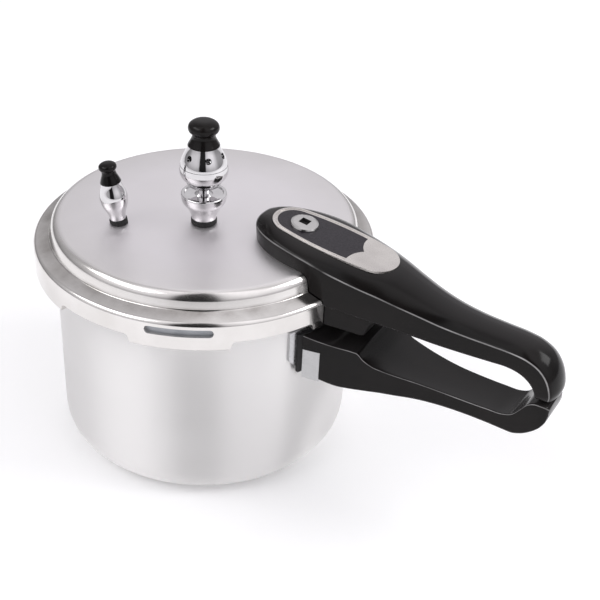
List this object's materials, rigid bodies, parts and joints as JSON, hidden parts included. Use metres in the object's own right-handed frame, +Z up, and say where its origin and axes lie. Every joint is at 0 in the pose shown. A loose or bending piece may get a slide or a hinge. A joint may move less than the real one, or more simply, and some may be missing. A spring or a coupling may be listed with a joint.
{
  "type": "stovetop pressure cooker",
  "caption": "Aluminium stovetop pressure cooker with a bayonet lid, paired black handles, a weight valve and a spring safety valve.",
  "frame": {"origin": "centre of the pot's flat base, on the surface it stands on", "axes": "+Z up, +X out along the two handles, lid locked"},
  "size_m": [0.3445, 0.211, 0.2204],
  "materials": {
    "pot_aluminium": "satin polished, soft vertical reflections",
    "lid_aluminium": "polished with a fine circular grain",
    "bracket_steel": "brushed",
    "ferrule_steel": "bright polished",
    "screw_steel": "bright turned",
    "valve_chrome": "mirror",
    "badge_silver": "fine brushed",
    "badge_black": "gloss",
    "black_phenolic": "gloss, moulded",
    "grey_silicone": "satin silicone",
    "black_rubber": "matt"
  },
  "bodies": {
    "pot": {"pot_shell": "pot_aluminium", "pot_bracket": "bracket_steel", "pot_bracket_rivets": "bracket_steel", "heat_spacer": "black_rubber", "pot_handle": "black_phenolic", "handle_ferrule": "ferrule_steel", "pot_handle_screw": "bracket_steel", "pot_handle_nut": "bracket_steel"},
    "lid": {"lid_shell": "lid_aluminium", "gasket": "grey_silicone", "lid_handle": "black_phenolic", "badge_plate": "badge_silver", "badge_inlay": "badge_black", "lid_handle_screw": "screw_steel", "lid_bracket": "bracket_steel", "lid_bracket_rivets": "bracket_steel", "vent_washer": "black_rubber", "vent_nozzle": "valve_chrome", "vent_nut": "valve_chrome", "vent_filter": "bracket_steel", "safety_grommet": "black_rubber", "safety_cup": "valve_chrome", "safety_nut": "valve_chrome", "safety_hood": "valve_chrome", "safety_spring": "bracket_steel"},
    "needle": {"weight_needle": "bracket_steel"},
    "weight": {"weight_bowl": "valve_chrome", "weight_hood": "valve_chrome", "weight_stud": "bracket_steel", "weight_knob": "black_phenolic"},
    "pull": {"safety_plunger": "bracket_steel", "safety_knob": "black_phenolic"}
  },
  "joints": [
    {"name": "lid_turn", "type": "hinge", "parent": "pot", "child": "lid", "pos_m": [0, 0, 0.13], "axis": [0, 0, 1], "range_deg": [0, 30]},
    {"name": "weight_lift", "type": "slide", "parent": "lid", "child": "needle", "axis": [0, 0, 1], "range_m": [0, 0.02]},
    {"name": "weight_spin", "type": "hinge", "parent": "needle", "child": "weight", "pos_m": [0.0075, -0.0125, 0.1532], "axis": [0, 0, 1], "continuous": true},
    {"name": "safety_lift", "type": "slide", "parent": "lid", "child": "pull", "axis": [-0.114, -0.08, 0.9902], "range_m": [0, 0.003], "stiffness_N_per_m": 900, "springref_m": -0.004, "deforming": ["safety_spring"]}
  ]
}
